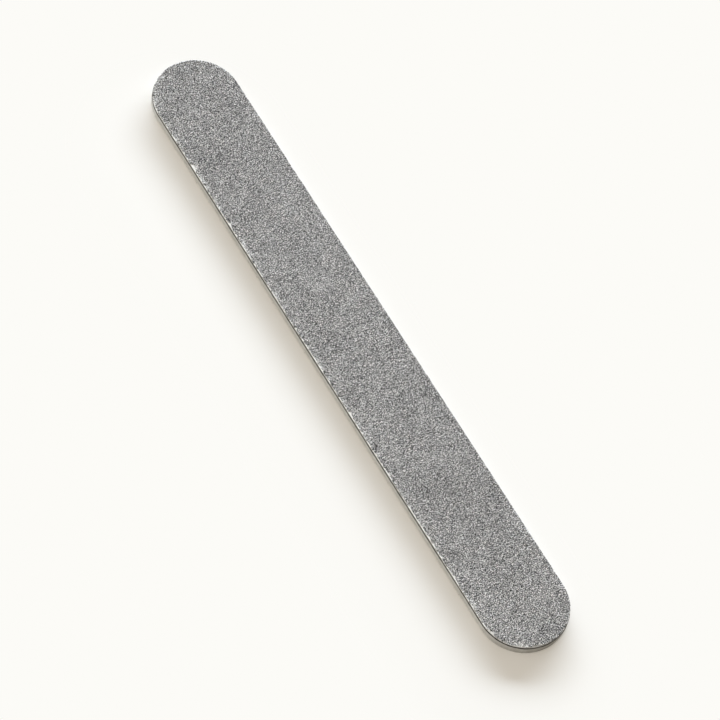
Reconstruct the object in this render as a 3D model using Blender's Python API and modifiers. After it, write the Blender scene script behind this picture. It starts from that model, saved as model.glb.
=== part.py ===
"""Nail file: a straight emery board with full-radius ends, lying flat.

A stiff core board carries an abrasive sheet on each face. A sheet is a backing paper with a grit coat on
its outer side, and an adhesive film bonds it to the core. All layers are stamped to one outline, from above.
The knife smears the upper glue line out a little and leaves the lower one drawn in. The core then springs
out past the outline with rounded rims, and the grit breaks off short of it, which bares the paper.

Metres, +Z up. The board lies along X, and its origin is under its middle, on the face it rests on.
"""

import math

import bmesh
import bpy

BOARD_NAME = "nail_file"

# Stamped outline, which the backing papers keep
BOARD_LENGTH = 0.150
BOARD_WIDTH = 0.019

# Layer thicknesses, from the middle outwards
CORE_THICKNESS = 0.00126
ADHESIVE_THICKNESS = 0.00028
BACKING_THICKNESS = 0.00027
COAT_THICKNESS = 0.00014

# Clearance between bonded faces
BOND_GAP = 0.00001

# Edges against the stamped outline: the core and the upper glue line stand past it, the rest stops short
CORE_BULGE = 0.00013
UPPER_GLUE_SMEAR = 0.00002
LOWER_GLUE_SET_BACK = 0.00008
COAT_SET_BACK = 0.00016

# Rounding of the rims: the core's edge and the worn edge of the grit
CORE_RIM_RADIUS = 0.00010
COAT_RIM_RADIUS = 0.00008
RIM_SEGMENTS = 4

# Straight pieces that stand for each half-round end
END_SEGMENTS = 40

# Points closer than this are one point
WELD_DISTANCE = 0.000001

# Faces that meet flatter than this are one flat face
FLAT_ANGLE = math.radians(0.5)

# Faces that meet sharper than this keep a crisp edge when shaded
CRISP_ANGLE = math.radians(35.0)

# Heights over the board's middle plane, each layer's inner face first
HALF_CORE = CORE_THICKNESS / 2
ADHESIVE_INNER = HALF_CORE + BOND_GAP
BACKING_INNER = ADHESIVE_INNER + ADHESIVE_THICKNESS + BOND_GAP
COAT_INNER = BACKING_INNER + BACKING_THICKNESS + BOND_GAP
HALF_BOARD = COAT_INNER + COAT_THICKNESS

# Which way a sheet faces
UPPER = 1
LOWER = -1
SIDE_NAMES = {UPPER: "upper", LOWER: "lower"}

# How far each glue line stops short of the stamped outline
GLUE_SET_BACK = {UPPER: -UPPER_GLUE_SMEAR, LOWER: LOWER_GLUE_SET_BACK}


def clear_scene():
    """Remove every object of the open scene."""
    for item in list(bpy.data.objects):
        bpy.data.objects.remove(item, do_unlink=True)


def board_collection():
    """The collection that holds the whole board."""
    collection = bpy.data.collections.new(BOARD_NAME)
    bpy.context.scene.collection.children.link(collection)
    return collection


def board_origin(collection):
    """The empty that every layer hangs on, under the board's middle."""
    origin = bpy.data.objects.new(BOARD_NAME + "_origin", None)
    origin.empty_display_size = BOARD_WIDTH
    collection.objects.link(origin)
    return origin


def plain_material(name, colour, roughness):
    """A non-metal with one colour and roughness."""
    material = bpy.data.materials.new(name)
    material.use_nodes = True
    shader = material.node_tree.nodes["Principled BSDF"]
    shader.inputs["Base Color"].default_value = (*colour, 1.0)
    shader.inputs["Roughness"].default_value = roughness
    shader.inputs["Metallic"].default_value = 0.0
    material.diffuse_color = (*colour, 1.0)
    return material


def grit_material(name):
    """Grey silicon-carbide grains in resin."""
    return plain_material(name, (0.29, 0.285, 0.275), 0.75)


def paper_material(name):
    """Pale backing paper, seen at its cut edge and on its bared rim."""
    return plain_material(name, (0.72, 0.70, 0.65), 0.85)


def adhesive_material(name):
    """Black adhesive film."""
    return plain_material(name, (0.030, 0.029, 0.027), 0.5)


def core_material(name):
    """Light-grey board of dense plastic foam."""
    return plain_material(name, (0.78, 0.77, 0.74), 0.6)


def outline_points(set_back):
    """Corners of two parallel sides joined by half-circles, drawn in by set_back (outwards if negative)."""
    end_radius = BOARD_WIDTH / 2 - set_back
    end_centre = (BOARD_LENGTH - BOARD_WIDTH) / 2
    points = []
    for end in (1, -1):
        for step in range(END_SEGMENTS + 1):
            turn = math.pi * (step / END_SEGMENTS - 0.5)
            x = end * (end_centre + end_radius * math.cos(turn))
            y = end * end_radius * math.sin(turn)
            points.append((x, y))
    return points


def outline_curve(name, set_back, thickness):
    """A filled flat outline of the given thickness, centred on its own origin."""
    curve = bpy.data.curves.new(name, "CURVE")
    curve.dimensions = "2D"
    curve.fill_mode = "BOTH"
    curve.extrude = thickness / 2
    points = outline_points(set_back)
    spline = curve.splines.new("POLY")
    spline.points.add(len(points) - 1)
    for point, (x, y) in zip(spline.points, points):
        point.co = (x, y, 0.0, 1.0)
    spline.use_cyclic_u = True
    return curve


def layer(name, set_back, thickness, material, collection):
    """One flat layer as a closed mesh, its caps joined to its sides and each cap one face."""
    guide = bpy.data.objects.new(name + "_outline", outline_curve(name, set_back, thickness))
    collection.objects.link(guide)
    bpy.context.view_layer.update()
    evaluated = guide.evaluated_get(bpy.context.evaluated_depsgraph_get())
    mesh = bpy.data.meshes.new_from_object(evaluated)
    mesh.name = name
    work = bmesh.new()
    work.from_mesh(mesh)
    bmesh.ops.remove_doubles(work, verts=work.verts, dist=WELD_DISTANCE)
    bmesh.ops.dissolve_limit(work, angle_limit=FLAT_ANGLE, verts=work.verts, edges=work.edges)
    bmesh.ops.recalc_face_normals(work, faces=work.faces)
    work.to_mesh(mesh)
    work.free()
    mesh.materials.clear()
    mesh.materials.append(material)
    mesh.shade_smooth()
    mesh.set_sharp_from_angle(angle=CRISP_ANGLE)
    piece = bpy.data.objects.new(name, mesh)
    piece.matrix_world = guide.matrix_world
    collection.objects.link(piece)
    bpy.data.objects.remove(guide, do_unlink=True)
    return piece


def round_rims(piece, radius, heights):
    """Round the rims that lie at the given heights of the piece's own frame."""
    mesh = piece.data
    weights = mesh.attributes.new("bevel_weight_edge", "FLOAT", "EDGE")
    for edge in mesh.edges:
        ends = [mesh.vertices[index].co.z for index in edge.vertices]
        on_rim = any(all(abs(end - height) < WELD_DISTANCE for end in ends) for height in heights)
        weights.data[edge.index].value = 1.0 if on_rim else 0.0
    bevel = piece.modifiers.new("rounded_rim", "BEVEL")
    bevel.limit_method = "WEIGHT"
    bevel.width = radius
    bevel.segments = RIM_SEGMENTS
    bevel.use_clamp_overlap = True


def seat(piece, side, inner_height, thickness, origin):
    """Hang a layer on the board's origin. A lower layer is an upper one turned over about X."""
    piece.parent = origin
    piece.location = (0.0, 0.0, HALF_BOARD + side * (inner_height + thickness / 2))
    if side == LOWER:
        piece.rotation_euler = (math.pi, 0.0, 0.0)


def core_board(collection, origin):
    """The stiff board in the middle, its edge just proud of the sheets and rounded at its rims."""
    name = "core_board"
    piece = layer(name, -CORE_BULGE, CORE_THICKNESS, core_material(name), collection)
    round_rims(piece, CORE_RIM_RADIUS, (HALF_CORE, -HALF_CORE))
    seat(piece, UPPER, -HALF_CORE, CORE_THICKNESS, origin)


def adhesive_film(side, collection, origin):
    """The glue line, which smears out above and stays drawn in below."""
    name = SIDE_NAMES[side] + "_adhesive_film"
    piece = layer(name, GLUE_SET_BACK[side], ADHESIVE_THICKNESS, adhesive_material(name), collection)
    seat(piece, side, ADHESIVE_INNER, ADHESIVE_THICKNESS, origin)


def backing_sheet(side, collection, origin):
    """The paper that carries the grit, stamped to the full outline."""
    name = SIDE_NAMES[side] + "_backing_sheet"
    piece = layer(name, 0.0, BACKING_THICKNESS, paper_material(name), collection)
    seat(piece, side, BACKING_INNER, BACKING_THICKNESS, origin)


def abrasive_coat(side, collection, origin):
    """The grit in its resin, short of the paper's edge and with its outer rim worn round."""
    name = SIDE_NAMES[side] + "_abrasive_coat"
    piece = layer(name, COAT_SET_BACK, COAT_THICKNESS, grit_material(name), collection)
    round_rims(piece, COAT_RIM_RADIUS, (COAT_THICKNESS / 2,))
    seat(piece, side, COAT_INNER, COAT_THICKNESS, origin)


def abrasive_sheet(side, collection, origin):
    """One sheet and its glue line, from the core outwards."""
    adhesive_film(side, collection, origin)
    backing_sheet(side, collection, origin)
    abrasive_coat(side, collection, origin)


def main():
    """Build the whole board."""
    clear_scene()
    collection = board_collection()
    origin = board_origin(collection)
    core_board(collection, origin)
    for side in (UPPER, LOWER):
        abrasive_sheet(side, collection, origin)


main()
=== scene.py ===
import math

import bpy
import numpy as np
from mathutils import Matrix, Vector


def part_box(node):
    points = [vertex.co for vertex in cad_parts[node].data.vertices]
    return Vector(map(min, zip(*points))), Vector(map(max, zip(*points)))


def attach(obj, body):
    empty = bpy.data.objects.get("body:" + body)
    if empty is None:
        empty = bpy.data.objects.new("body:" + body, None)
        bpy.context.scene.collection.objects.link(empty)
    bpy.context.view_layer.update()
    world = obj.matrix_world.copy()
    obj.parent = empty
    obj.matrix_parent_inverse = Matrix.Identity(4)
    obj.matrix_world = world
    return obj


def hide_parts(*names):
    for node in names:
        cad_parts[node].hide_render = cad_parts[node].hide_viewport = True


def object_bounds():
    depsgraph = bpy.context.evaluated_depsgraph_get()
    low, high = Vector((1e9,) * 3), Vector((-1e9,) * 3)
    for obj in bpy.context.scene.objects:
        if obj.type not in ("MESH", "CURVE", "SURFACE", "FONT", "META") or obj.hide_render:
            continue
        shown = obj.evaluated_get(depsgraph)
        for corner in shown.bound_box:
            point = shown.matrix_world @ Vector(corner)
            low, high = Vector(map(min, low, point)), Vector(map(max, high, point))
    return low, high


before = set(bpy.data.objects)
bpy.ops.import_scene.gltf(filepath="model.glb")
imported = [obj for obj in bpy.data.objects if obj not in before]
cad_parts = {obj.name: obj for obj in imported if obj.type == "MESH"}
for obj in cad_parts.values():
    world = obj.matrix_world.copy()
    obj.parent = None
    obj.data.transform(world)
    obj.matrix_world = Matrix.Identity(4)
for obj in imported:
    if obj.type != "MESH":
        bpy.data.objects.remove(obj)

# Looks of a straight nail file, around its packed layers. Metres, +Z up, the file along X.
# The photo's grit, cut edges and shadow are rebuilt as numpy surfaces, loose grains and node materials.

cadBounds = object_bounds()
millimetre = 0.001

boardSize = dict(
    halfLength=(cadBounds[1][0] - cadBounds[0][0]) / 2,
    halfWidth=(cadBounds[1][1] - cadBounds[0][1]) / 2,
    thickness=cadBounds[1][2] - cadBounds[0][2],
)
boardSize["spine"] = boardSize["halfLength"] - boardSize["halfWidth"]   # from the middle to an end's centre


# Meshes and small helpers

def meshObject(name, points, triangles, smooth, attributes=None):
    # one mesh from whole arrays: points n by 3, triangles m by 3, float attributes by triangle
    mesh = bpy.data.meshes.new(name)
    mesh.vertices.add(len(points))
    mesh.vertices.foreach_set("co", np.ascontiguousarray(points, np.float32).ravel())
    mesh.loops.add(triangles.size)
    mesh.loops.foreach_set("vertex_index", triangles.astype(np.int32).ravel())
    mesh.polygons.add(len(triangles))
    mesh.polygons.foreach_set("loop_start", np.arange(0, triangles.size, 3, dtype=np.int32))
    mesh.polygons.foreach_set("use_smooth", np.full(len(triangles), smooth))
    mesh.update(calc_edges=True)
    for key, values in (attributes or {}).items():
        mesh.attributes.new(key, "FLOAT", "FACE").data.foreach_set("value", values.astype(np.float32))
    piece = bpy.data.objects.new(name, mesh)
    bpy.context.scene.collection.objects.link(piece)
    return piece


def gridTriangles(rows, columns):
    # two triangles for each cell of a grid whose rows close on themselves
    row = np.arange(rows)[:, None]
    column = np.arange(columns - 1)[None, :]
    a = row * columns + column
    b = (row + 1) % rows * columns + column
    return np.concatenate([np.stack([a, b, b + 1], -1), np.stack([a, b + 1, a + 1], -1)]).reshape(-1, 3)


def weldEqual(points, triangles, step=1e-7):
    # joins points that fall on one spot and drops the triangles that this closes up
    key = np.round(points / step).astype(np.int64)
    _, first, back = np.unique(key, axis=0, return_index=True, return_inverse=True)
    joined = back.reshape(-1)[triangles]
    a, b, c = joined.T
    return points[first], joined[(a != b) & (b != c) & (c != a)]


def smoothNoise(x, y, cell, seed):
    # value noise from -1 to 1: random lattice values, blended with a smoothstep over each cell
    table = np.random.default_rng(seed).uniform(-1, 1, (256, 256))
    u, v = x / cell, y / cell
    iu, iv = np.floor(u).astype(int), np.floor(v).astype(int)
    fu, fv = u - iu, v - iv
    fu, fv = fu * fu * (3 - 2 * fu), fv * fv * (3 - 2 * fv)
    at = lambda i, j: table[i % 256, j % 256]
    low = at(iu, iv) * (1 - fu) + at(iu + 1, iv) * fu
    high = at(iu, iv + 1) * (1 - fu) + at(iu + 1, iv + 1) * fu
    return low * (1 - fv) + high * fv


def softStep(value, start, end):
    # 0 below start, 1 above end, a smoothstep between
    share = ((value - start) / (end - start)).clip(0, 1)
    return share * share * (3 - 2 * share)


def aroundBoard(step):
    # columns round the outline, a step apart: spine point, outward direction, run along the outline
    spine, radius = boardSize["spine"], boardSize["halfWidth"]
    sideCount = int(round(2 * spine / step))
    endCount = int(round(math.pi * radius / step))
    along = np.linspace(-spine, spine, sideCount, endpoint=False)
    turn = np.linspace(-math.pi / 2, math.pi / 2, endCount, endpoint=False)
    spineX = np.concatenate([along, np.full(endCount, spine), -along, np.full(endCount, -spine)])
    outX = np.concatenate([0 * along, np.cos(turn), 0 * along, -np.cos(turn)])
    outY = np.concatenate([0 * along - 1, np.sin(turn), 0 * along + 1, -np.sin(turn)])
    run = np.arange(len(spineX)) * (4 * spine + 2 * math.pi * radius) / len(spineX)
    return spineX[:, None], outX[:, None], outY[:, None], run[:, None]


def sweptLayer(name, profile, step, smooth):
    # carries a profile round the outline: it gives reach from the spine and height, rings by points
    spineX, outX, outY, run = aroundBoard(step)
    reach, height = profile(spineX, outX, outY, run)
    points = np.stack([spineX + reach * outX, reach * outY, np.broadcast_to(height, reach.shape)], -1)
    points, triangles = weldEqual(points.reshape(-1, 3), gridTriangles(*reach.shape))
    return meshObject(name, points, triangles, smooth)


def closedProfile(reach, height):
    # closes a wall of reaches and heights over the spine, below and above
    spine = np.zeros((len(reach), 1))
    height = np.broadcast_to(height, reach.shape)
    return (np.concatenate([spine, reach, spine], 1),
            np.concatenate([height[:, :1], height, height[:, -1:]], 1))


def newMaterial(name):
    # an empty node material, its tree and its shader
    material = bpy.data.materials.new(name)
    material.use_nodes = True
    tree = material.node_tree
    return material, tree, tree.nodes["Principled BSDF"]


def addNode(tree, kind, inputs=None, **settings):
    # a node with its settings, and for each input a value or the socket that feeds it
    node = tree.nodes.new(kind)
    for key, value in settings.items():
        setattr(node, key, value)
    for key, value in (inputs or {}).items():
        if isinstance(value, bpy.types.NodeSocket):
            tree.links.new(value, node.inputs[key])
        else:
            node.inputs[key].default_value = value
    return node


def colourRamp(tree, factor, stops):
    # a colour ramp whose stops, place and colour, are given from the lowest to the highest
    ramp = addNode(tree, "ShaderNodeValToRGB", {"Fac": factor})
    for index, (place, colour) in enumerate(stops):
        if index > 1:
            ramp.color_ramp.elements.new(place)
        element = ramp.color_ramp.elements[index]
        element.position, element.color = place, (*colour, 1.0)
    return ramp.outputs["Color"]


def objectNoise(tree, scale, detail=2.0, roughness=0.5, stretch=(1, 1, 1)):
    # noise on Object coordinates, its scale in patches per metre
    place = addNode(tree, "ShaderNodeTexCoord").outputs["Object"]
    mapped = addNode(tree, "ShaderNodeMapping", {"Vector": place, "Scale": stretch}).outputs["Vector"]
    return addNode(tree, "ShaderNodeTexNoise", {
        "Vector": mapped, "Scale": scale, "Detail": detail, "Roughness": roughness}).outputs["Fac"]


def spreadRoughness(tree, shader, factor, smoothest, roughest):
    # roughness between two values, by a pattern from 0 to 1
    spread = addNode(tree, "ShaderNodeMapRange", {"Value": factor, "To Min": smoothest, "To Max": roughest})
    tree.links.new(spread.outputs["Result"], shader.inputs["Roughness"])


def bumpFrom(tree, shader, height, distance, strength):
    # bumps the shader by a pattern from 0 to 1, distance metres high
    bump = addNode(tree, "ShaderNodeBump", {"Height": height, "Distance": distance, "Strength": strength})
    tree.links.new(bump.outputs["Normal"], shader.inputs["Normal"])


def turnedOver(points):
    # half a turn about the board's middle line, which makes an upper piece a lower one
    return np.stack([points[:, 0], -points[:, 1], boardSize["thickness"] - points[:, 2]], -1)


def finishPiece(piece, material, slot, *nodes):
    # material and body of a piece, and the imported layers that it stands for, which it hides; the slot is
    # not used
    piece.data.materials.append(material)
    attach(piece, "root")
    if nodes:
        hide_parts(*nodes)


# Painted shade on the edge of the near end, deepening towards its +Y side

paintedEndShadeLook = dict(
    core=(0.36, 0.345, 0.305),     # what that end keeps of the core's colour
    paper=(0.25, 0.24, 0.21),      # and of the papers'
    alongFrom=65.0 * millimetre,   # it comes in between these places along the file
    alongTo=70.0 * millimetre,
    acrossFrom=-13.0 * millimetre,    # and deepens between these across it
    acrossTo=1.0 * millimetre,
)


def paintedEndShade(tree, clean, shadeColour):
    # the clean colour, multiplied towards the painted shade's colour by a step along the file and a slope
    # across it
    place = addNode(tree, "ShaderNodeTexCoord").outputs["Object"]
    axes = addNode(tree, "ShaderNodeSeparateXYZ", {0: place}).outputs
    along = addNode(tree, "ShaderNodeMapRange", {
        "Value": axes["X"], "From Min": paintedEndShadeLook["alongFrom"], "From Max": paintedEndShadeLook["alongTo"],
    }, interpolation_type="SMOOTHSTEP").outputs["Result"]
    across = addNode(tree, "ShaderNodeMapRange", {
        "Value": axes["Y"], "From Min": paintedEndShadeLook["acrossFrom"], "From Max": paintedEndShadeLook["acrossTo"],
    }).outputs["Result"]
    both = addNode(tree, "ShaderNodeMath", {0: along, 1: across}, operation="MULTIPLY")
    mixed = addNode(tree, "ShaderNodeMix", {0: both.outputs[0], 6: clean, 7: (*shadeColour, 1)},
                    data_type="RGBA", blend_type="MULTIPLY")
    return mixed.outputs[2]


# Core board

coreLook = dict(
    step=0.25 * millimetre,        # between rings round the edge
    crown=0.10 * millimetre,       # radius of the edge's rounded rims
    cutMark=0.012 * millimetre,    # depth of the upright marks of the stamping knife
    cutSpacing=0.45 * millimetre,
    cutSeed=11,
    colour=(0.74, 0.73, 0.705),
    shade=(0.63, 0.62, 0.59),
    cloudScale=900,                # patches of the shade per metre
    markScale=5200,                # fine upright marks per metre
    markHeight=0.03 * millimetre,
    roughness=(0.47, 0.67),        # smoothest and roughest
)


def coreMaterial():
    # two greys in clouds drawn out upright, painted shade on the near end, and fine upright knife marks
    material, tree, shader = newMaterial("corePlastic")
    cloud = objectNoise(tree, coreLook["cloudScale"], 3, 0.6, (1, 1, 0.25))
    clean = colourRamp(tree, cloud, [(0.35, coreLook["shade"]), (0.65, coreLook["colour"])])
    tree.links.new(paintedEndShade(tree, clean, paintedEndShadeLook["core"]), shader.inputs["Base Color"])
    marks = objectNoise(tree, coreLook["markScale"], 2, 0.5, (1, 1, 0.06))
    spreadRoughness(tree, shader, marks, *coreLook["roughness"])
    bumpFrom(tree, shader, marks, coreLook["markHeight"], 0.4)
    return material


def coreProfile(spineX, outX, outY, run):
    # straight wall between quarter-round rims, less upright marks of smooth noise along the run
    low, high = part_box("core_board")
    half, crown = (high.z - low.z) / 2, coreLook["crown"]
    quarter = np.linspace(0, math.pi / 2, 6)
    wall = np.linspace(-1, 1, 6)[1:-1] * (half - crown)
    inward = crown * (1 - np.sin(quarter))
    rise = crown * (1 - np.cos(quarter))
    cuts = smoothNoise(run, 0 * run, coreLook["cutSpacing"], coreLook["cutSeed"])
    marks = coreLook["cutMark"] * (0.5 + 0.5 * cuts)
    reach = high.y - np.concatenate([inward, 0 * wall, inward[::-1]])[None, :] - marks
    height = np.concatenate([rise - half, wall, half - rise[::-1]]) + (low.z + high.z) / 2
    return closedProfile(reach, height[None, :])


def buildCore():
    core = sweptLayer("coreBoard", coreProfile, coreLook["step"], True)
    core.data.set_sharp_from_angle(angle=math.radians(50))
    finishPiece(core, coreMaterial(), "core_plastic", "core_board")


# Adhesive films

adhesiveLook = dict(
    step=0.15 * millimetre,
    wander=0.02 * millimetre,      # how far the edge draws back here and there
    roundness=0.10,                # of half the film's thickness, at its faces
    wanderSpacing=2.2 * millimetre,
    smearUp=0.10 * millimetre,     # how far the knife dragged it over the paper's cut edge
    smearOut=0.075 * millimetre,   # and out over the core's shoulder
    smearSpacing=0.7 * millimetre,
    skin=0.006 * millimetre,       # thinnest place of the smear
    seeds=dict(upper=21, lower=22),
    tintScale=1500,                # patches of the lighter tint per metre
    colour=(0.014, 0.013, 0.012),
    light=(0.05, 0.046, 0.041),
    roughness=0.6,
    refraction=1.4,
)


def adhesiveMaterial():
    # black with a lighter tint in patches
    material, tree, shader = newMaterial("blackAdhesive")
    tint = objectNoise(tree, adhesiveLook["tintScale"], 3)
    colour = colourRamp(tree, tint, [(0.4, adhesiveLook["colour"]), (0.75, adhesiveLook["light"])])
    tree.links.new(colour, shader.inputs["Base Color"])
    shader.inputs["Roughness"].default_value = adhesiveLook["roughness"]
    shader.inputs["IOR"].default_value = adhesiveLook["refraction"]
    bumpFrom(tree, shader, tint, 0.00002, 0.5)
    return material


def smearedProfile(node, seed):
    # a thin slab with a bead on its edge: out along the core's shoulder, over a hollow face, and up the
    # paper's cut edge, by amounts that wander with noise along the run
    low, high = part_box(node)
    crown, skin, spacing = coreLook["crown"], adhesiveLook["skin"], adhesiveLook["smearSpacing"]
    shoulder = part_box("core_board")[1].y - crown

    def profile(spineX, outX, outY, run):
        noise = lambda extra: 0.5 + 0.5 * smoothNoise(run, 0 * run, spacing, seed + extra)
        up = adhesiveLook["smearUp"] * (0.25 + 0.75 * noise(1))
        out = adhesiveLook["smearOut"] * (0.35 + 0.65 * noise(2))
        drop = crown - np.sqrt(crown ** 2 - np.maximum(high.y + out - shoulder, 0) ** 2)
        reach = np.concatenate([high.y + out, high.y + 0.5 * out, high.y + 0.2 * out,
                                high.y + 0 * out, high.y - 4 * skin + 0 * out], 1)
        height = np.concatenate([low.z + skin - drop, low.z + 0.3 * (high.z - low.z) + 0 * up,
                                 high.z + 0 * up, high.z + up, high.z + 0.9 * up], 1)
        return closedProfile(reach, height)
    return profile


def drawnInProfile(node, seed):
    # a thin slab whose edge is a shallow arc and wanders inwards with slow noise
    low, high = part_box(node)
    half = (high.z - low.z) / 2
    bulge = np.linspace(-math.pi / 2, math.pi / 2, 5)

    def profile(spineX, outX, outY, run):
        noise = 0.5 + 0.5 * smoothNoise(run, 0 * run, adhesiveLook["wanderSpacing"], seed)
        wander = adhesiveLook["wander"] * noise
        reach = high.y - wander - adhesiveLook["roundness"] * half * (1 - np.cos(bulge))[None, :]
        return closedProfile(reach, (half * np.sin(bulge) + (low.z + high.z) / 2)[None, :])
    return profile


def buildAdhesives():
    material = adhesiveMaterial()
    for side, edge in (("upper", smearedProfile), ("lower", drawnInProfile)):
        node = side + "_adhesive_film"
        profile = edge(node, adhesiveLook["seeds"][side])
        film = sweptLayer(side + "AdhesiveFilm", profile, adhesiveLook["step"], True)
        finishPiece(film, material, "adhesive", node)


# Backing sheets

paperLook = dict(
    step=0.12 * millimetre,
    fibre=0.018 * millimetre,      # roughness of the cut, a few fibres deep
    fibreSpacing=0.16 * millimetre,
    lipHeight=0.135 * millimetre,  # burr of fibres that the knife raised along the rim, beside the grit
    lipWidth=0.19 * millimetre,
    lipNotch=0.06 * millimetre,    # how ragged its crest is
    lowLip=0.75,                   # least share of that height on the sheet that was pressed to the bench
    patchSpacing=0.8 * millimetre,    # between places where it shows
    patchDetail=0.28 * millimetre,
    seeds=dict(upper=31, lower=36),
    fibreScale=5000,               # fibres per metre
    fibreBump=0.03 * millimetre,
    colour=(0.95, 0.945, 0.92),
    shade=(0.50, 0.49, 0.455),
    roughness=0.9,
)


def paperMaterial():
    # pale fibres between darker ones, with painted shade on the near end
    material, tree, shader = newMaterial("backingPaper")
    fibres = objectNoise(tree, paperLook["fibreScale"], 3, 0.65, (1, 1, 2.5))
    clean = colourRamp(tree, fibres, [(0.30, paperLook["shade"]), (0.46, paperLook["colour"])])
    tree.links.new(paintedEndShade(tree, clean, paintedEndShadeLook["paper"]), shader.inputs["Base Color"])
    shader.inputs["Roughness"].default_value = paperLook["roughness"]
    bumpFrom(tree, shader, fibres, paperLook["fibreBump"], 0.6)
    return material


def rimPatch(x, y, seed):
    # 1 where the paper's burr shows along the rim, 0 where grit covers it: noise of two sizes, sharpened
    patches = smoothNoise(x, y, paperLook["patchSpacing"], seed)
    detail = smoothNoise(x, y, paperLook["patchDetail"], seed + 1)
    return softStep(0.5 * patches + 0.5 * detail, -0.16, 0.10)


def bareSide(outX, outY):
    # 1 where grit chipped off the rim: a smoothstep of how far the outline faces -Y, less part of how far it
    # faces -X
    return softStep(0.35 * np.minimum(outX, 0) - outY, -0.10, 0.25)


def burrSide(outY):
    # 1 where the knife also raised the paper: a smoothstep of how far the outline faces -Y, which is 0 on the
    # ends' tips
    return softStep(-outY, 0.15, 0.60)


def paperProfile(node, outward, seed):
    # a thin slab whose cut edge is roughened by noise over run and height, and whose rim stands up in a
    # ragged burr: out over the slab's far side, up the wall, over the crest, down inside it and back in
    low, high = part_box(node)
    middle, half = (low.z + high.z) / 2, (high.z - low.z) / 2
    levels = np.linspace(-1, 1, 5)[None, :]
    fibre, spacing = paperLook["fibre"], paperLook["fibreSpacing"]

    def profile(spineX, outX, outY, run):
        fray = smoothNoise(run + 0 * levels, levels * spacing + 0 * run, spacing, seed)
        wall = high.y - fibre * (0.5 + 0.5 * fray)
        patch = rimPatch(spineX + high.y * outX, high.y * outY, seed) * burrSide(outY)
        if outward < 0:
            patch = np.maximum(patch, paperLook["lowLip"])
        notch = paperLook["lipNotch"] * (0.5 + 0.5 * smoothNoise(run, 0 * run, spacing, seed + 3))
        crest = half + np.maximum(paperLook["lipHeight"] * patch - notch, 0)
        inner = wall[:, -1:] - paperLook["lipWidth"] * (0.35 + 0.65 * patch)
        reach = np.concatenate([wall, wall[:, -1:] - fibre, inner, inner - fibre], 1)
        height = np.concatenate([
            0 * run + levels * half, crest, crest - 0.2 * (crest - half), 0 * run + half], 1)
        reach, height = closedProfile(reach, height)
        height = middle + outward * height
        return (reach, height) if outward > 0 else (reach[:, ::-1], height[:, ::-1])
    return profile


def buildBackings():
    material = paperMaterial()
    for side, outward in (("upper", 1), ("lower", -1)):
        node = side + "_backing_sheet"
        profile = paperProfile(node, outward, paperLook["seeds"][side])
        sheet = sweptLayer(side + "BackingSheet", profile, paperLook["step"], False)
        finishPiece(sheet, material, "backing_paper", node)


# Abrasive coats: a resin bed that carries loose faceted grains

coatLook = dict(
    seeds=dict(upper=51, lower=61),
    bedStep=0.30 * millimetre,
    bedDepth=0.100 * millimetre,    # bed surface below the tips of the grains
    bedSlope=0.03 * millimetre,     # width of the slope at its edge
    bedRings=26,                    # points from its edge to the spine
    bedRipple=0.010 * millimetre,
    rippleSpacing=1.1 * millimetre,
    rippleSeed=42,
    overhang=0.06 * millimetre,     # how far the grit hangs over the stamped edge
    bareBurr=0.22 * millimetre,     # how far it draws back where the burr shows
    chipWidth=0.38 * millimetre,    # added where the grit has chipped off
    chipSpacing=1.7 * millimetre,
    wornZone=0.70 * millimetre,     # next to it, where patches have lost their grains or gone pale
    wornShare=0.55,                 # of the grains in such a patch, that are gone
    wornSpacing=1.3 * millimetre,
    paleSpacing=1.1 * millimetre,
    paleShift=0.33,                 # how far the worn patches go over to pale grains
    endPaleShift=0.50,              # and how much further at the handled end
    stuckShare=0.30,                # of the grains over the bare rim, that stuck to the burr
    spacing=0.20 * millimetre,      # between neighbouring grains
    unlike=0.75,                    # how strongly a grain's kind avoids its neighbours'
    clump=0.05,                     # how far patches of the face drift to paler or darker kinds
    clumpSpacing=1.3 * millimetre,
    driftSpacing=5.0 * millimetre,
    toneSpread=0.15,                # between the facets of one grain
    grainSize=0.26 * millimetre,
    sizeSpread=0.22,
    tipPull=(0.80, 1.20),
    flatness=0.55,                  # height of a grain against its width
    jitter=0.30,                    # of the spacing
    tipSpread=0.075 * millimetre,   # how unevenly high the tips stand
)
resinLook = dict(
    dark=(0.02, 0.02, 0.02),
    middle=(0.20, 0.202, 0.198),
    light=(0.75, 0.75, 0.745),
    roughness=0.5,
    bumpScale=2600,                 # bumps per metre
    bumpHeight=0.04 * millimetre,
)

# Each kind of grain, from dark to pale: its share (the last kind takes what is left), its size against the
# common one, the darkest and lightest of its colours, its roughness and refraction
grainKinds = {
    "Dark": dict(share=0.28, size=1.0, roughness=0.30, refraction=1.3,
                 dark=(0.004, 0.004, 0.004), light=(0.02, 0.02, 0.02)),
    "Grey": dict(share=0.20, size=1.0, roughness=0.35, refraction=1.4,
                 dark=(0.16, 0.16, 0.16), light=(0.28, 0.28, 0.28)),
    "Ash": dict(share=0.19, size=1.0, roughness=0.35, refraction=1.4,
                dark=(0.27, 0.27, 0.27), light=(0.42, 0.42, 0.42)),
    "Light": dict(share=0.13, size=1.0, roughness=0.30, refraction=1.5,
                  dark=(0.38, 0.38, 0.375), light=(0.62, 0.62, 0.61)),
    "Pale": dict(share=0.25, size=1.05, roughness=0.15, refraction=1.7,
                 dark=(0.88, 0.88, 0.87), light=(0.99, 0.99, 0.98)),
}


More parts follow.
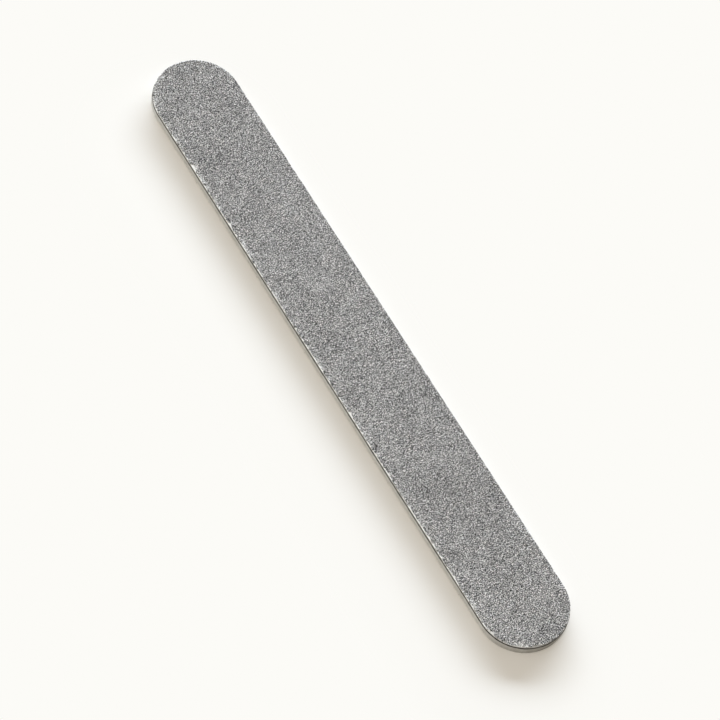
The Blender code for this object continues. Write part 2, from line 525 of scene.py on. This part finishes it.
def resinMaterial():
    # one tone for each cell of a Voronoi pattern, the cells as far apart as the grains
    material, tree, shader = newMaterial("gritResin")
    place = addNode(tree, "ShaderNodeTexCoord").outputs["Object"]
    cells = addNode(tree, "ShaderNodeTexVoronoi", {"Vector": place, "Scale": 1 / coatLook["spacing"]})
    tone = addNode(tree, "ShaderNodeSeparateColor", {"Color": cells.outputs["Color"]}).outputs["Red"]
    stops = [(0.25, resinLook["dark"]), (0.55, resinLook["middle"]), (0.85, resinLook["light"])]
    tree.links.new(colourRamp(tree, tone, stops), shader.inputs["Base Color"])
    shader.inputs["Roughness"].default_value = resinLook["roughness"]
    bumpFrom(tree, shader, objectNoise(tree, resinLook["bumpScale"], 4, 0.6), resinLook["bumpHeight"], 0.6)
    return material


def grainMaterial(kind):
    # each facet's own tone between the darkest and lightest of its kind, and a frosted gloss
    look = grainKinds[kind]
    material, tree, shader = newMaterial("grit" + kind)
    tone = addNode(tree, "ShaderNodeAttribute", attribute_name="grainTone").outputs["Fac"]
    colour = colourRamp(tree, tone, [(0.0, look["dark"]), (1.0, look["light"])])
    tree.links.new(colour, shader.inputs["Base Color"])
    frost = objectNoise(tree, 9000, 2)
    spreadRoughness(tree, shader, frost, look["roughness"] - 0.08, look["roughness"] + 0.15)
    shader.inputs["IOR"].default_value = look["refraction"]
    return material


def coatEdge(spineX, outX, outY, side, seed):
    # reach of the grit: the stamped outline and its overhang, less what it draws back at a burr and where it
    # has chipped off, in patches of noise. A lower coat is worked out before it is turned over
    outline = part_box("upper_backing_sheet")[1].y
    turned = 1 if side == "upper" else -1
    bare = bareSide(outX, turned * outY)
    x, y = spineX + outline * outX, outline * outY
    patch = rimPatch(x, turned * y, paperLook["seeds"][side]) * burrSide(turned * outY)
    if side == "lower":
        patch = np.maximum(patch, paperLook["lowLip"])
    spacing = coatLook["chipSpacing"]
    rough = smoothNoise(x, y, spacing, seed) + 0.4 * smoothNoise(x, y, 0.3 * spacing, seed + 1)
    drawnIn = coatLook["bareBurr"] * patch + coatLook["chipWidth"] * softStep(rough, 0.35, 0.75) * bare
    return outline + coatLook["overhang"] - drawnIn


def bedProfile(low, high, side, seed):
    # rippled bed that slopes off at the grit's edge: out along the paper, up, and back in to the spine
    top = high.z - coatLook["bedDepth"]
    rows = np.linspace(0, 1, coatLook["bedRings"])

    def profile(spineX, outX, outY, run):
        edge = coatEdge(spineX, outX, outY, side, seed) - coatLook["overhang"]
        inner = (1 - rows)[None, :] * (edge - coatLook["bedSlope"])
        ripple = coatLook["bedRipple"] * smoothNoise(
            spineX + inner * outX, inner * outY, coatLook["rippleSpacing"], coatLook["rippleSeed"])
        foot = 0 * edge + low.z
        reach = np.concatenate([0 * edge, edge, edge, inner], 1)
        height = np.concatenate([foot, foot, 0 * edge + (low.z + top) / 2, top + ripple], 1)
        return reach, height
    return profile


def scatterPlaces(spacing, jitter, reach, random):
    # a hexagonal lattice, each point shaken by a share of the spacing, kept where it lies on the board. The
    # draw, from 0 to 1, says which kind of grain lies there: a random value less part of its neighbours'
    # mean, by rank, so that like grains seldom touch
    spine = boardSize["spine"]
    rows = np.arange(-reach, reach, spacing * math.sqrt(3) / 2)
    columns = np.arange(-spine - reach, spine + reach, spacing)
    x = columns[None, :] + (np.arange(len(rows)) % 2 * spacing / 2)[:, None]
    y = rows[:, None] + 0 * x
    own = random.uniform(0, 1, x.shape)
    around = (np.roll(own, 1, 0) + np.roll(own, -1, 0) + np.roll(own, 1, 1) + np.roll(own, -1, 1)) / 4
    draw = (own - coatLook["unlike"] * around).ravel().argsort().argsort() / own.size
    x, y = x.ravel(), y.ravel()
    x = x + random.uniform(-jitter, jitter, len(x)) * spacing
    y = y + random.uniform(-jitter, jitter, len(y)) * spacing
    keep = spineDistance(x, y)[0] < reach
    return x[keep], y[keep], draw[keep]


def spineDistance(x, y):
    # distance of a point from the spine, the spine's nearest point and the direction away from it
    spineX = np.clip(x, -boardSize["spine"], boardSize["spine"])
    distance = np.hypot(x - spineX, y)
    safe = np.maximum(distance, 1e-9)
    return distance, spineX, (x - spineX) / safe, y / safe


def randomTurns(count, random):
    # rotation matrices from random unit quaternions
    q = random.normal(size=(count, 4))
    w, x, y, z = (q / np.linalg.norm(q, axis=1)[:, None]).T
    return np.stack([
        1 - 2 * (y * y + z * z), 2 * (x * y - z * w), 2 * (x * z + y * w),
        2 * (x * y + z * w), 1 - 2 * (x * x + z * z), 2 * (y * z - x * w),
        2 * (x * z - y * w), 2 * (y * z + x * w), 1 - 2 * (x * x + y * y),
    ], -1).reshape(-1, 3, 3)


octahedronTips = np.array([[1, 0, 0], [-1, 0, 0], [0, 1, 0], [0, -1, 0], [0, 0, 1], [0, 0, -1]], float)
octahedronFaces = np.array([
    [0, 2, 4], [2, 1, 4], [1, 3, 4], [3, 0, 4], [2, 0, 5], [1, 2, 5], [3, 1, 5], [0, 3, 5]])


def crushedGrains(sizes, random):
    # octahedra with each tip pulled in or out by its own share, turned at random and flattened, n by 6 by 3
    pull = random.uniform(*coatLook["tipPull"], (len(sizes), 6, 1))
    shapes = octahedronTips[None] * pull * sizes[:, None, None] / 2
    turned = np.einsum("nij,nkj->nki", randomTurns(len(sizes), random), shapes)
    return turned * [1, 1, coatLook["flatness"]]


def grainMesh(name, grains, tones, material):
    # one mesh of many grains, six points and eight facets each, with a tone for each facet
    triangles = (octahedronFaces[None] + 6 * np.arange(len(grains))[:, None, None]).reshape(-1, 3)
    piece = meshObject(name, grains.reshape(-1, 3), triangles, False, {"grainTone": tones.ravel()})
    finishPiece(piece, material, "grit")


def turnBedOver(bed):
    # half a turn about the board's middle line, for every point of the mesh
    co = np.empty(len(bed.data.vertices) * 3, np.float32)
    bed.data.vertices.foreach_get("co", co)
    bed.data.vertices.foreach_set("co", turnedOver(co.reshape(-1, 3)).astype(np.float32).ravel())
    bed.data.update()


def pickedKinds(x, y, draw, paleZone, awayX, seed):
    # index of each grain's kind: its draw, drifted by noise of two sizes, and shifted to the pale kinds in
    # patches of the worn zone, further at the handled end
    clumps = smoothNoise(x, y, coatLook["clumpSpacing"], seed + 7)
    drift = clumps + smoothNoise(x, y, coatLook["driftSpacing"], seed + 8)
    patches = softStep(smoothNoise(x, y, coatLook["paleSpacing"], seed + 9), 0.1, 0.5)
    shift = coatLook["paleShift"] + coatLook["endPaleShift"] * softStep(awayX, 0, 0.5)
    pick = (draw + coatLook["clump"] * drift + shift * patches * paleZone).clip(0, 0.9999)
    return np.searchsorted(np.cumsum([look["share"] for look in grainKinds.values()]), pick)


def placedGrains(x, y, kind, top, random):
    # crushed grains at their places, the tip of each a little below the top, n by 6 by 3
    count = len(x)
    sizes = np.array([look["size"] for look in grainKinds.values()])[kind] * coatLook["grainSize"]
    sizes = sizes * np.exp(random.normal(0, coatLook["sizeSpread"], count)).clip(0.5, 1.7)
    grains = crushedGrains(sizes, random)
    tip = top - random.uniform(0, 1, count) ** 1.5 * coatLook["tipSpread"]
    lift = tip - grains[:, :, 2].max(1)
    return grains + np.stack([x, y, lift], -1)[:, None, :]


def buildCoat(side, bedMaterial, grainMaterials):
    # bed and grains of an upper coat, turned over at the end for the lower one
    seed = coatLook["seeds"][side]
    random = np.random.default_rng(seed)
    low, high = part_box("upper_abrasive_coat")
    bed = sweptLayer(side + "ResinBed", bedProfile(low, high, side, seed), coatLook["bedStep"], True)
    x, y, draw = scatterPlaces(coatLook["spacing"], coatLook["jitter"], high.y + coatLook["spacing"], random)
    distance, centreX, awayX, awayY = spineDistance(x, y)
    edge = coatEdge(centreX, awayX, awayY, side, seed)
    bare = bareSide(awayX, awayY if side == "upper" else -awayY)
    rimZone = distance > edge - coatLook["wornZone"]
    kind = pickedKinds(x, y, draw, bare * rimZone, awayX, seed)
    grains = placedGrains(x, y, kind, high.z, random)
    stuck = (random.uniform(0, 1, len(x)) < coatLook["stuckShare"]) * paperLook["lipWidth"]
    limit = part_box("upper_backing_sheet")[1].y + coatLook["overhang"]
    farthest = spineDistance(grains[:, :, 0], grains[:, :, 1])[0].max(1)
    worn = smoothNoise(x, y, coatLook["wornSpacing"], seed + 5) + random.uniform(-0.3, 0.3, len(x)) > 0.25
    worn &= rimZone & (random.uniform(0, 1, len(x)) < coatLook["wornShare"]) & (bare > 0.5)
    kept = (distance < edge + stuck) & (farthest < limit) & ~worn
    tones = random.uniform(0, 1, (len(x), 1)) + random.uniform(-1, 1, (len(x), 8)) * coatLook["toneSpread"]
    if side == "lower":
        grains = turnedOver(grains.reshape(-1, 3)).reshape(-1, 6, 3)
        turnBedOver(bed)
    finishPiece(bed, bedMaterial, "grit", side + "_abrasive_coat")
    for index, name in enumerate(grainKinds):
        chosen = kept & (kind == index)
        grainMesh(side + name + "Grains", grains[chosen], tones[chosen].clip(0, 1), grainMaterials[name])
    print("grains on the", side, "face:", int(kept.sum()))


def buildCoats():
    bedMaterial = resinMaterial()
    grainMaterials = {name: grainMaterial(name) for name in grainKinds}
    for side in ("upper", "lower"):
        buildCoat(side, bedMaterial, grainMaterials)


# Camera, lights and floor

shot = dict(
    azimuth=44.364,       # degrees, 0 looks along +Y
    elevation=59.407,
    roll=17.204,
    distance=0.752552,    # from the middle of the upper face, along the view
    right=-0.000920,      # where that middle lies in the view
    up=0.003488,
    lens=185.0,
    sensor=36.0,
)
studio = dict(
    # a wide low softbox behind the far side throws the shadow, a high one in front of the near end fills in
    key=dict(azimuth=143.5, elevation=17.6, distance=4.0, width=7.1, height=0.97,
             share=0.692, colour=(0.80, 0.888, 1.0)),
    top=dict(azimuth=304.0, elevation=74.0, distance=4.0, width=1.2, height=1.2,
             share=0.215, colour=(1.0, 0.924, 0.823)),
    ambient=0.378, ambientColour=(1.0, 0.924, 0.823),   # soft light from all round
    floorColour=(0.973, 0.965, 0.930), floorHalf=4.0, floorDrop=0.00001,
    shadowShift=(0.008, -0.008),      # from the file's spine to the middle line of its shadow
    fadeStart=0.012, fadeEnd=0.024,   # distance from that line at which the floor evens out
)


def viewAxes(azimuth, elevation, roll):
    # unit vectors to the right of the view, up in it, and back towards the eye
    a, e, r = (math.radians(value) for value in (azimuth, elevation, roll))
    back = Vector((math.sin(a) * math.cos(e), -math.cos(a) * math.cos(e), math.sin(e)))
    level = Vector((math.cos(a), math.sin(a), 0))
    upright = back.cross(level)
    return math.cos(r) * level + math.sin(r) * upright, math.cos(r) * upright - math.sin(r) * level, back


def placeCamera():
    # the camera stands back along the view from the middle of the upper face, shifted right and up in it
    right, up, back = viewAxes(shot["azimuth"], shot["elevation"], shot["roll"])
    target = Vector((0, 0, boardSize["thickness"]))
    camera = bpy.data.objects.new("camera", bpy.data.cameras.new("camera"))
    camera.data.lens, camera.data.sensor_width = shot["lens"], shot["sensor"]
    camera.data.clip_start, camera.data.clip_end = 0.01, 20
    place = target - shot["right"] * right - shot["up"] * up + shot["distance"] * back
    turn = Matrix((right, up, back)).transposed().to_4x4()
    camera.matrix_world = Matrix.Translation(place) @ turn
    bpy.context.scene.collection.objects.link(camera)
    bpy.context.scene.camera = camera


def areaLight(name, azimuth, elevation, distance, width, height, share, colour):
    # an ellipse that faces the file; share is the part of a full white level that a small one would bring to
    # the floor
    a, e = math.radians(azimuth), math.radians(elevation)
    towards = Vector((math.cos(a) * math.cos(e), math.sin(a) * math.cos(e), math.sin(e)))
    lamp = bpy.data.lights.new(name, "AREA")
    lamp.shape, lamp.size, lamp.size_y, lamp.color = "ELLIPSE", width, height, colour
    lamp.energy = share * (math.pi * distance) ** 2 / math.sin(e)
    item = bpy.data.objects.new(name, lamp)
    item.location = towards * distance
    item.rotation_euler = towards.to_track_quat("Z", "Y").to_euler()
    bpy.context.scene.collection.objects.link(item)


def mathNode(tree, operation, first, second=0.0):
    return addNode(tree, "ShaderNodeMath", {0: first, 1: second}, operation=operation).outputs[0]


def seenDirectly(tree):
    # 1 for a ray from the camera, off a gloss or through glass
    rays = addNode(tree, "ShaderNodeLightPath").outputs
    either = mathNode(tree, "MAXIMUM", rays["Is Camera Ray"], rays["Is Glossy Ray"])
    return mathNode(tree, "MAXIMUM", either, rays["Is Transmission Ray"])


def floorMaterial():
    # plain matt floor round the file, which fades to the even background beyond the shadow's reach
    material, tree, shader = newMaterial("paleFloor")
    shader.inputs["Base Color"].default_value = (*studio["floorColour"], 1)
    shader.inputs["Roughness"].default_value = 1.0
    shader.inputs["Specular IOR Level"].default_value = 0.0
    place = addNode(tree, "ShaderNodeTexCoord").outputs["Object"]
    fromShadow = addNode(tree, "ShaderNodeVectorMath", {
        0: place, 1: (*studio["shadowShift"], 0)}, operation="SUBTRACT").outputs["Vector"]
    axes = addNode(tree, "ShaderNodeSeparateXYZ", {0: fromShadow}).outputs
    beyond = mathNode(tree, "SUBTRACT", mathNode(tree, "ABSOLUTE", axes["X"]), boardSize["spine"])
    offset = addNode(tree, "ShaderNodeCombineXYZ", {"X": mathNode(tree, "MAXIMUM", beyond), "Y": axes["Y"]})
    away = addNode(tree, "ShaderNodeVectorMath", {0: offset.outputs[0]}, operation="LENGTH").outputs["Value"]
    fade = addNode(tree, "ShaderNodeMapRange", {
        "Value": away, "From Min": studio["fadeStart"], "From Max": studio["fadeEnd"],
    }, interpolation_type="SMOOTHSTEP").outputs["Result"]
    amount = mathNode(tree, "MULTIPLY", fade, seenDirectly(tree))
    even = addNode(tree, "ShaderNodeEmission", {"Color": (*studio["floorColour"], 1)})
    mixed = addNode(tree, "ShaderNodeMixShader", {0: amount, 1: shader.outputs[0], 2: even.outputs[0]})
    tree.links.new(mixed.outputs[0], tree.nodes["Material Output"].inputs["Surface"])
    return material


def buildStage():
    # floor, sky and softboxes. The sky is as pale as the floor where it is seen, and dim as a light
    half = studio["floorHalf"]
    corners = np.array([[-half, -half], [half, -half], [half, half], [-half, half]])
    corners = np.column_stack([corners, np.full(4, -studio["floorDrop"])])
    floor = meshObject("paleFloor", corners, np.array([[0, 1, 2], [0, 2, 3]]), False)
    floor.data.materials.append(floorMaterial())
    world = bpy.data.worlds.new("studioWorld")
    world.use_nodes = True
    tree = world.node_tree
    tree.nodes.clear()
    seen = addNode(tree, "ShaderNodeBackground", {"Color": (*studio["floorColour"], 1), "Strength": 1.0})
    dim = addNode(tree, "ShaderNodeBackground", {
        "Color": (*studio["ambientColour"], 1), "Strength": studio["ambient"]})
    both = addNode(tree, "ShaderNodeMixShader", {
        0: seenDirectly(tree), 1: dim.outputs[0], 2: seen.outputs[0]})
    tree.links.new(both.outputs[0], addNode(tree, "ShaderNodeOutputWorld").inputs["Surface"])
    bpy.context.scene.world = world
    for name in ("key", "top"):
        areaLight(name + "Softbox", **studio[name])


placeCamera()
buildStage()
print("camera, lights and floor are in place")
buildCore()
buildAdhesives()
buildBackings()
print("core, adhesive and backing layers are in place")
buildCoats()
print("abrasive coats are in place")

bpy.context.scene.view_settings.view_transform = "Standard"
